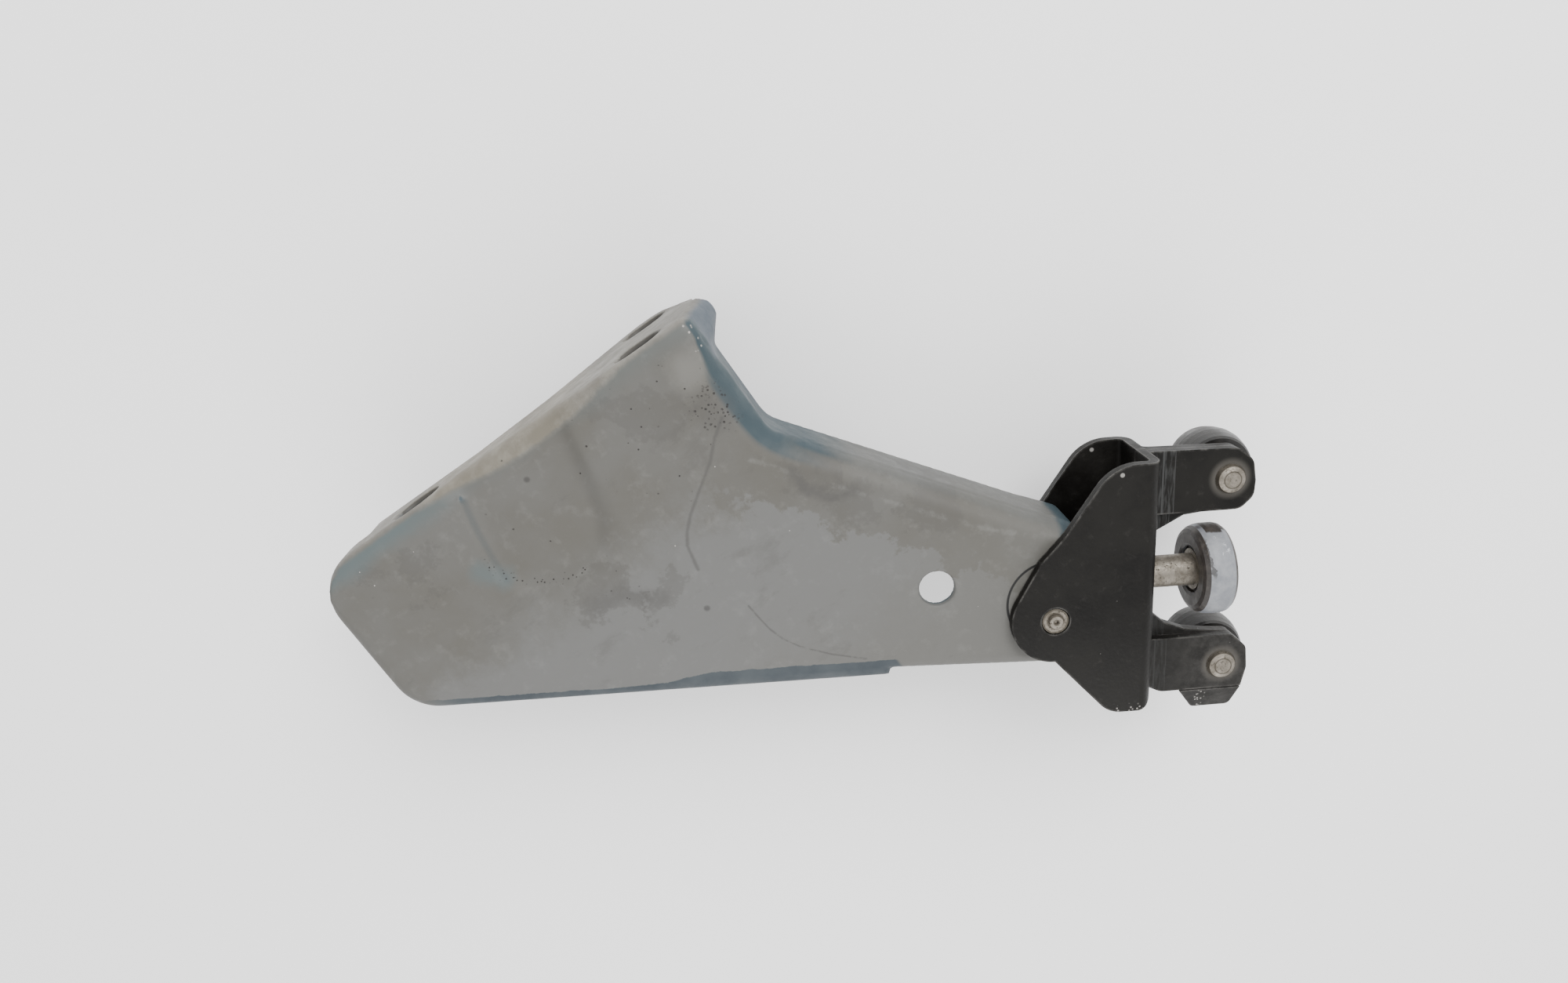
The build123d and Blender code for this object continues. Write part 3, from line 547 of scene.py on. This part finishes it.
def tread_material():
    """Hard blue-grey plastic of the load roller, with a dark scuff, a painted glint, grimy sides and a
    painted shadow across the top of the tread.
    """
    g = Graph("load_tread_worn", roughness=0.45, specular=0.45)
    cloud = g.noise(0.008, 6, 0.7, seed=3.7)
    colour = g.mix(g.ramp(cloud, 0.35, 0.65), (0.150, 0.158, 0.175), (0.225, 0.232, 0.245))
    across = g.dot(g.place, OUT, PIVOT.dot(OUT))
    along = g.dot(g.place, SIDE, PIVOT.dot(SIDE))
    torn = g.calc("SUBTRACT", g.noise(0.0022, 5, 0.75, seed=5.9), 0.5)
    facing = g.ramp(g.dot(g.normal, (0, 0, 1)), 0.0, 0.3)
    line = g.calc("SUBTRACT", g.calc("ADD", across, g.times(along, 0.10)), 0.0497)
    line = g.calc("ADD", line, g.times(torn, 0.0042))
    scuff = g.times(g.band(line, 0.0, 0.00035, 0.0003), g.ramp(along, 0.0085, 0.0105))
    scuff = g.times(scuff, g.ramp(along, 0.0200, 0.0185), facing)
    glint = g.times(g.ramp(torn, 0.09, 0.14), g.band(across, 0.0532, 0.0018, 0.0010))
    glint = g.times(glint, g.band(along, 0.0185, 0.0025, 0.002))
    colour = g.mix(g.times(scuff, 0.85), colour, (0.045, 0.043, 0.042))
    colour = g.mix(g.times(glint, 0.8), colour, (0.42, 0.43, 0.45))
    sides = g.ramp(g.calc("ABSOLUTE", g.dot(g.normal, OUT)), 0.40, 0.52)
    # painted shadow: a dark band across the top of the tread, where the upper arm plate shades it; it takes
    # the same dark colour as the grimy sides
    top_shadow = g.ramp(g.calc("ADD", g.dot(g.normal, SIDE), g.times(torn, 0.03)), 0.930, 0.950)
    grime = g.mix(g.ramp(g.noise(0.003, 5, 0.6), 0.4, 0.7), *GRIME_AND_SHADOW)
    colour = g.mix(g.times(g.most(sides, top_shadow), 0.95), colour, grime)
    g.colour(colour)
    g.rough(g.ramp(cloud, 0.3, 0.7, 0.38, 0.55))
    g.bump(g.calc("SUBTRACT", g.noise(0.0015, 4, 0.6), scuff), 0.00012)
    return g.material


def guide_material():
    """Black plastic of the guide rollers with fine dust."""
    g = Graph("guide_tread_black", roughness=0.4, specular=0.45)
    cloud = g.noise(0.006, 5, 0.6, seed=4.4)
    colour = g.mix(g.ramp(cloud, 0.35, 0.7), (0.006, 0.0055, 0.005), (0.016, 0.0145, 0.013))
    dust = g.ramp(g.noise(0.0018, 6, 0.7, seed=2.8), 0.6, 0.75)
    g.colour(g.mix(g.times(dust, 0.4), colour, (0.08, 0.072, 0.064)))
    g.rough(g.ramp(cloud, 0.3, 0.7, 0.30, 0.52))
    g.bump(g.noise(0.001, 4, 0.6), 0.0001)
    return g.material


def floor_material():
    """Pale matt backdrop with a trace of paper grain."""
    g = Graph("backdrop_paper", roughness=0.9, specular=0.1)
    g.colour(g.mix(g.noise(0.02, 3), (0.975, 0.975, 0.975), (0.99, 0.99, 0.99)))
    return g.material


PRIMER = primer_material()
DIP_COAT = carriage_material()
RINGS = [(joint_at(name), radius, half) for name in ("upper_guide_spin", "lower_guide_spin")
         for radius, half in ((0.0044, 0.0002), (0.0026, 0.00005))]
RINGS += [(PIVOT, 0.0023, 0.0002), (PIVOT, 0.0038, 0.0002), (PIVOT, 0.0007, 0.0002)]
PLATED = steel_material("plated_steel_worn", (0.235, 0.212, 0.178), (0.125, 0.110, 0.088), 0.7, 0.42, RINGS)
BEARING = steel_material("bearing_steel_used", (0.40, 0.39, 0.37), (0.26, 0.25, 0.23), 0.9, 0.3)
BRONZE = steel_material("bush_bronze_used", (0.38, 0.27, 0.14), (0.22, 0.155, 0.08), 0.8, 0.4)
TREAD = tread_material()
GUIDE = guide_material()
BY_SLOT = {
    "arm_primer": PRIMER, "carriage_black": DIP_COAT, "plated_steel": PLATED, "bearing_steel": BEARING,
    "bush_bronze": BRONZE, "guide_plastic": GUIDE, "load_plastic": TREAD,
}
SHIELD = steel_material("bearing_shield_dull", (0.15, 0.14, 0.13), (0.08, 0.072, 0.065), 0.7, 0.5)
GRIME = steel_material("roller_hub_grime", (0.050, 0.040, 0.033), (0.028, 0.022, 0.018), 0.0, 0.5)


def dress_nodes():
    """Gives each carried-over node the material of its slot."""
    for part in frame["record"]["subparts"]:
        node = frame["nodes"][part["node"]]
        for place in node.material_slots:
            place.material = BY_SLOT[part["material_slot"]]


dress_nodes()


# ---------------------------------------------------------------- pieces
def piece(name, mesh, material, body):
    """Object from a mesh, shaded smooth, on a body."""
    mesh.materials.clear()
    mesh.materials.append(material)
    mesh.shade_smooth()
    made = bpy.data.objects.new(name, mesh)
    bpy.context.collection.objects.link(made)
    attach(made, body)
    return made


TOP = WEB_TOP / MM                     # the web's outer face, in millimetres like everything in this section
POCKET_SIDES = ((0.2265, 0.974, 12.12), (0.9967, -0.081, 43.27), (0.0, -1.0, 32.2), (-0.3688, -0.9296, 21.82))
POCKET_SOFT = 4.5                      # how far the pocket's corners are rounded off
POCKET_DEEP = 2.0
SHEET = 3.0
UPPER_WALL = (0.596, -0.803, 21.31)    # way in from the long upper wall, and its distance from the origin
LOWER_EDGE = (0.848, -0.530, 82.9)     # way out over the long lower edge, and its distance
LOW_END_Y, HIGH_END_Y = -78.9, 57.0
NECK_X = 38.0                          # where the end wall gives way to the long upper wall
TOP_BEND = 7.0                         # outside bend radius along the arm's top edge
FLANGE_BEND = 3.6                      # outside bend radius beside the mounting flange
POCKET_BEND = 2.4                      # how much wider that bend is beside the pocket
RECESS_STEP = 0.35                     # step down into the round recess at the tip
END_BEND = 8.5                         # outside bend radius along the end wall
END_WALL_Y = 57.1
END_FLARE = 0.12                       # how fast the end wall leans outwards with depth
END_FLARE_FROM = 5.0                   # depth at which it starts to lean
WALL_SOFT = 2.5                        # how far the corner between the end wall and the long wall is rounded
CORNER_TRIM = 0.35                     # brings the rounded corner back onto the wall
SWELL = 0.25                           # height of the web's gentle unevenness
SKIN_GRAIN = 0.8                       # spacing of the vertices that the soft forms are pressed into
SHIELD_SET = 0.15                      # how far a bearing shield lies inside the face of its ring
SHIELD_THICK = 0.22
GUIDE_SHIELD_R = (5.45, 7.35)          # inner and outer radius of a guide roller's shield
LOAD_BEARING_HALF = 3.5                # half the width of the load roller's bearing
WELD_R = 1.1
WELD_SIDES = 12
RIPPLE_STEP = 0.45                     # spacing of the rings that make a weld bead
KNUCKLE_WELD_R = 11.1                  # radius of the beads round the knuckle
KNUCKLE_WELD_ARC = (100, 430)          # where they start and end, in degrees


def pocket_gap(x, y):
    """Distance from the pocket's outline, negative inside; its sides blend at the corners."""
    total = sum(math.exp((ax * x + ay * y - off) / POCKET_SOFT) for ax, ay, off in POCKET_SIDES)
    return POCKET_SOFT * math.log(total)


def smooth(value, low, high):
    """Smooth step from 0 to 1."""
    t = min(max((value - low) / (high - low), 0.0), 1.0)
    return t * t * (3 - 2 * t)


def recess_drop(x, y):
    """Depth of the round recess at the tip, on the side where its step shows."""
    ax, ay = x - RECESS_AT[0] / MM, y - RECESS_AT[1] / MM
    facing = smooth(RECESS_SIDE[0] * ax + RECESS_SIDE[1] * ay, 0.0, 4.0)
    return RECESS_STEP * facing * (1 - smooth(math.hypot(ax, ay), RECESS_R / MM - 1.0, RECESS_R / MM - 0.3))


def web_drop(x, y):
    """How far the web lies below its flat level: pocket, recess and gentle swells."""
    gap = pocket_gap(x, y)
    soft = 5.0 + 2.5 * smooth(x, 15, 34) * smooth(y, -20, 0)
    drop = POCKET_DEEP * (1 - smooth(gap, -soft * 0.5, soft * 0.6))
    swell = SWELL * math.sin(x / 17.0 + 0.6) * math.sin(y / 21.0)
    return max(drop + recess_drop(x, y) + swell * (1 if drop < 0.1 else 0.3), 0.0)


def top_gap(x, y):
    """Distance in from the arm's long upper wall."""
    return x * UPPER_WALL[0] + y * UPPER_WALL[1] + UPPER_WALL[2]


def bend_inward(x, y):
    """Distance in from the arm's outline to the nearest of its straight edges."""
    low_edge = LOWER_EDGE[2] - (x * LOWER_EDGE[0] + y * LOWER_EDGE[1])
    top_edge = top_gap(x, y) if x > NECK_X else HIGH_END_Y - y
    return min(low_edge, top_edge, x, y - LOW_END_Y)


def wall_gap(x, y, z):
    """Distance in from the end wall or the long upper wall, and the way in; the two blend at their corner."""
    flare = END_FLARE * max(TOP - END_FLARE_FROM - z, 0.0)
    gaps = ((END_WALL_Y + flare - y, 0.0, -1.0), (top_gap(x, y), UPPER_WALL[0], UPPER_WALL[1]))
    high = max(gap for gap, _, _ in gaps)
    parts = [math.exp((gap - high) / WALL_SOFT) for gap, _, _ in gaps]
    total = sum(parts)
    way = Vector([sum(p * g[k] for p, g in zip(parts, gaps)) / total for k in (1, 2)])
    way.normalize()
    return high + WALL_SOFT * math.log(total) - CORNER_TRIM, way


def onto_bend(gap, z, top, radius, outward):
    """Moves a point of a sharper corner onto a wider bend: new gap from the wall, and new height."""
    in_gap, in_z = radius - gap, z - (top - radius)
    if in_gap <= 0 or in_z <= 0:
        return gap, z
    reach = math.hypot(in_gap, in_z)
    limit = radius if outward else radius - SHEET
    if reach <= limit:
        return gap, z
    return radius - in_gap * limit / reach, top - radius + in_z * limit / reach


def web_level(x, y, z, lift):
    """Height of a point on the web's upper or lower face once the pocket is pressed in."""
    if z <= TOP - SHEET - POCKET_DEEP - 0.6:
        return z
    inside = bend_inward(x, y)
    if lift > 0.25 and inside > 3.0 and x > 1.0:
        return TOP - web_drop(x, y) if lift > 0.6 or pocket_gap(x, y) < 4 else z
    if lift < -0.25 and inside > 4.0 and x > 4.0:
        return TOP - SHEET - web_drop(x, y)
    return z


def onto_wall_bend(x, y, z, normal):
    """Point moved onto the wide bend along the end wall and the long upper wall, or None away from them."""
    gap, way = wall_gap(x, y, z)
    if not (7 < x < 120 and gap < END_BEND and y > 40):
        return None
    radius = FLANGE_BEND + (END_BEND - FLANGE_BEND) * smooth(x, 7, 20)
    radius += (TOP_BEND - END_BEND) * smooth(x, 40, 60) - (TOP_BEND - FLANGE_BEND) * smooth(x, 112, 120)
    outward = normal.z - normal.x * way.x - normal.y * way.y > 0
    new_gap, z = onto_bend(gap, z, TOP, radius, outward)
    return x + (new_gap - gap) * way.x, y + (new_gap - gap) * way.y, z


def shaped(point, normal):
    """Place of one vertex of the pressing once the soft forms are pressed into it."""
    x, y, z = point
    z = web_level(x, y, z, normal.z)
    moved = onto_wall_bend(x, y, z, normal)
    if moved:
        return moved
    if -35 < y < 20 and x < 12:
        mask = smooth(y, -32, -22) * (1 - smooth(y, 6, 16))
        radius = FLANGE_BEND + POCKET_BEND * mask
        x, z = onto_bend(x, z, TOP - POCKET_DEEP * mask, radius, normal.z - normal.x > 0)
    return x, y, z


def arm_skin():
    """The arm's pressing with soft pressed forms: even fine mesh, rounded pocket, wide top bend."""
    source = frame["nodes"]["arm_shell"]
    skin = piece("arm_skin", source.data.copy(), PRIMER, "arm")
    remesh = skin.modifiers.new("even", "REMESH")
    remesh.mode = "VOXEL"
    remesh.voxel_size = SKIN_GRAIN * MM
    remesh.use_smooth_shade = True
    relax = skin.modifiers.new("relax", "SMOOTH")
    relax.factor = 0.5
    relax.iterations = 3
    graph = bpy.context.evaluated_depsgraph_get()
    fine = bpy.data.meshes.new_from_object(skin.evaluated_get(graph))
    skin.modifiers.clear()
    skin.data = fine
    normals = [vertex.normal.copy() for vertex in fine.vertices]
    for vertex, normal in zip(fine.vertices, normals):
        vertex.co = [c * MM for c in shaped([c / MM for c in vertex.co], normal)]
    ease(fine, 2)
    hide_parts("arm_shell")
    return skin


def ease(mesh, times):
    """Evens out small steps between neighbouring vertices."""
    work = bmesh.new()
    work.from_mesh(mesh)
    for _ in range(times):
        bmesh.ops.smooth_vert(
            work, verts=work.verts, factor=0.4, use_axis_x=True, use_axis_y=True, use_axis_z=True)
    work.to_mesh(mesh)
    work.free()


def lathe(name, profile, centre, axis, material, body, steps=96):
    """Solid of revolution: (radius, height) corners in metres, turned about an axis through a centre."""
    axis = Vector(axis).normalized()
    across = axis.orthogonal().normalized()
    other = axis.cross(across)
    points = []
    for k in range(steps):
        a = 2 * math.pi * k / steps
        ray = across * math.cos(a) + other * math.sin(a)
        points += [Vector(centre) + ray * r + axis * h for r, h in profile]
    n = len(profile)
    faces = []
    for k in range(steps):
        for i in range(n):
            a, b = k * n, ((k + 1) % steps) * n
            faces.append((a + i, b + i, b + (i + 1) % n, a + (i + 1) % n))
    mesh = bpy.data.meshes.new(name)
    mesh.from_pydata(points, [], faces)
    made = piece(name, mesh, material, body)
    work = bmesh.new()
    work.from_mesh(made.data)
    bmesh.ops.recalc_face_normals(work, faces=work.faces)
    work.to_mesh(made.data)
    work.free()
    made.data.set_sharp_from_angle(angle=math.radians(35))
    return made


def bearing_shields():
    """Dished steel shields over the balls of each bearing, a hair inside the rings' faces."""
    for side in ("upper", "lower"):
        low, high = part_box(side + "_bearing_outer_ring")
        centre = ((low[0] + high[0]) / 2, (low[1] + high[1]) / 2, 0)
        shield("_guide_back", side, centre, low[2] + SHIELD_SET * MM, 1)
        shield("_guide_front", side, centre, high[2] - SHIELD_SET * MM, -1)


def shield(suffix, side, centre, height, way):
    """One shield ring with a pressed groove, facing -Z when way is 1."""
    inner, outer = GUIDE_SHIELD_R
    rows = [(inner, 0.10), (inner + 0.5, 0.0), (inner + 0.8, 0.25)]
    rows += [(outer - 0.7, 0.25), (outer - 0.4, 0.0), (outer, 0.0)]
    back = [(r, h + SHIELD_THICK) for r, h in reversed(rows)]
    profile = [(r * MM, height + way * h * MM) for r, h in rows + back]
    body = side + "_guide_roller"
    lathe(side + suffix + "_shield", profile, centre, (0, 0, 1), SHIELD, body)


def load_shield():
    """Shield over the outer face of the load roller's bearing."""
    low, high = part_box("load_bearing_outer_ring")
    middle = (Vector(low) + Vector(high)) / 2
    face = LOAD_BEARING_HALF - SHIELD_SET
    rows = [(6.75, -0.1), (7.2, 0.0), (7.5, -0.25), (8.7, -0.25), (9.0, 0.0), (9.45, 0.0)]
    back = [(r, h - SHIELD_THICK) for r, h in reversed(rows)]
    profile = [(r * MM, (face + h) * MM) for r, h in rows + back]
    lathe("load_roller_shield", profile, middle, OUT, SHIELD, "load_roller")


def load_cover():
    """Dished cover over the inner face of the load roller's bearing."""
    low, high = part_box("load_bearing_outer_ring")
    middle = (Vector(low) + Vector(high)) / 2
    face = -(LOAD_BEARING_HALF - SHIELD_SET)
    rows = [(5.3, 0.5), (5.9, 0.7), (6.6, 0.35), (8.3, 0.0), (8.9, 0.0)]
    back = [(r, h + SHIELD_THICK) for r, h in reversed(rows)]
    profile = [(r * MM, (face + h) * MM) for r, h in rows + back]
    lathe("load_roller_cover", profile, middle, OUT, GRIME, "load_roller")


def weld(name, points, radius):
    """Rippled weld bead on the arm, along a line of points given in millimetres."""
    path = [Vector(p) * MM for p in points]
    rings = []
    for k, (a, b) in enumerate(zip(path, path[1:])):
        steps = max(int((b - a).length / (RIPPLE_STEP * MM)), 1)
        rings += [a.lerp(b, i / steps) for i in range(steps + (k == len(path) - 2))]
    verts = []
    for k, centre in enumerate(rings):
        ahead = rings[min(k + 1, len(rings) - 1)] - rings[max(k - 1, 0)]
        across = ahead.normalized().orthogonal().normalized()
        other = ahead.normalized().cross(across)
        ripple = 1 + 0.12 * math.sin(k * 1.9) + 0.05 * math.sin(k * 0.7 + 1)
        end = min(k, len(rings) - 1 - k)
        size = radius * MM * ripple * (0.35 + 0.65 * smooth(end, 0, 4))
        for i in range(WELD_SIDES):
            t = 2 * math.pi * i / WELD_SIDES
            verts.append(centre + (across * math.cos(t) + other * math.sin(t)) * size)
    faces = []
    for k in range(len(rings) - 1):
        for i in range(WELD_SIDES):
            a, b = k * WELD_SIDES, (k + 1) * WELD_SIDES
            faces.append((a + i, a + (i + 1) % WELD_SIDES, b + (i + 1) % WELD_SIDES, b + i))
    faces.append(tuple(reversed(range(WELD_SIDES))))
    faces.append(tuple(range(len(verts) - WELD_SIDES, len(verts))))
    mesh = bpy.data.meshes.new(name)
    mesh.from_pydata(verts, [], faces)
    return piece(name, mesh, PRIMER, "arm")


def ring_points(x, y, z, steps=40):
    """Points of a bead round the knuckle, in millimetres."""
    start, end = KNUCKLE_WELD_ARC
    turns = [math.radians(start + (end - start) * k / steps) for k in range(steps + 1)]
    return [(x + KNUCKLE_WELD_R * math.cos(a), y + KNUCKLE_WELD_R * math.sin(a), z) for a in turns]


def welds():
    """Beads that hold the gusset, the knuckle and the tip plate."""
    low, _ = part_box("flange_brace")
    y = low[1] / MM
    web = TOP - SHEET
    foot = low[2] / MM
    weld("brace_web_bead", [(5, y, web - 0.2), (33, y, web - 0.2)], WELD_R)
    weld("brace_flange_bead", [(SHEET + 0.2, y, web - 4), (SHEET + 0.2, y, foot + 3)], WELD_R)
    px, py = PIVOT.x / MM, PIVOT.y / MM
    weld("knuckle_web_bead", ring_points(px, py, web - 0.3), WELD_R)
    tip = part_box("arm_tip_plate")[1][2] / MM
    weld("knuckle_tip_bead", ring_points(px, py, tip + 0.3), WELD_R - 0.1)


arm_skin()
bearing_shields()
load_shield()
load_cover()
welds()


# ---------------------------------------------------------------- floor, light and camera
AIM = (0.08, 0.04, 0.0)                                    # middle of the arm, where both lamps point
LAMPS = [("key", (-0.45, 0.65, 0.75), 0.7, 13.5), ("fill", (0.75, -0.35, 0.60), 0.8, 5.5)]
SURROUND = 1.4                                             # strength of the even light from all sides
FLOOR_HALF = 3.0
FLOOR_GAP = 0.0005                                         # between the floor and the lowest point
CAMERA_AT = (-0.0350, 0.0902, 0.3210)
CAMERA_RIGHT = Vector((0.5664, 0.8218, 0.0624))
CAMERA_UP = Vector((-0.7747, 0.5567, -0.3000))
CAMERA_BACK = Vector((-0.2813, 0.1216, 0.9519))
CAMERA_LENS = 26.1                                         # for a sensor 36 mm wide


def flat_mesh(name, half, height, material):
    """Square sheet at a height, as stage."""
    mesh = bpy.data.meshes.new(name)
    corners = [(-half, -half, height), (half, -half, height), (half, half, height), (-half, half, height)]
    mesh.from_pydata(corners, [], [(0, 1, 2, 3)])
    mesh.materials.append(material)
    sheet = bpy.data.objects.new(name, mesh)
    bpy.context.collection.objects.link(sheet)
    return sheet


def soft_light(name, place, aim, size, power):
    """Square area light that looks at a point."""
    data = bpy.data.lights.new(name, "AREA")
    data.shape = "SQUARE"
    data.size = size
    data.energy = power
    lamp = bpy.data.objects.new(name, data)
    lamp.location = place
    lamp.rotation_euler = (Vector(aim) - Vector(place)).to_track_quat("-Z", "Y").to_euler()
    bpy.context.collection.objects.link(lamp)


def world_light(strength):
    """Even pale surroundings."""
    world = bpy.data.worlds.new("soft_surround")
    world.use_nodes = True
    world.node_tree.nodes["Background"].inputs["Color"].default_value = (1, 1, 1, 1)
    world.node_tree.nodes["Background"].inputs["Strength"].default_value = strength
    bpy.context.scene.world = world


def camera():
    """Camera close above the arm's closed side, leaning so that the mounting face and top wall show."""
    data = bpy.data.cameras.new("camera")
    data.sensor_width = 36.0
    data.lens = CAMERA_LENS
    data.clip_start = 0.01
    view = bpy.data.objects.new("camera", data)
    view.matrix_world = Matrix((CAMERA_RIGHT, CAMERA_UP, CAMERA_BACK)).transposed().to_4x4()
    view.location = CAMERA_AT
    bpy.context.collection.objects.link(view)
    bpy.context.scene.camera = view


flat_mesh("backdrop", FLOOR_HALF, cad_box[0][2] - FLOOR_GAP, floor_material())
for lamp_name, lamp_at, lamp_size, lamp_power in LAMPS:
    soft_light(lamp_name, lamp_at, AIM, lamp_size, lamp_power)
world_light(SURROUND)
camera()
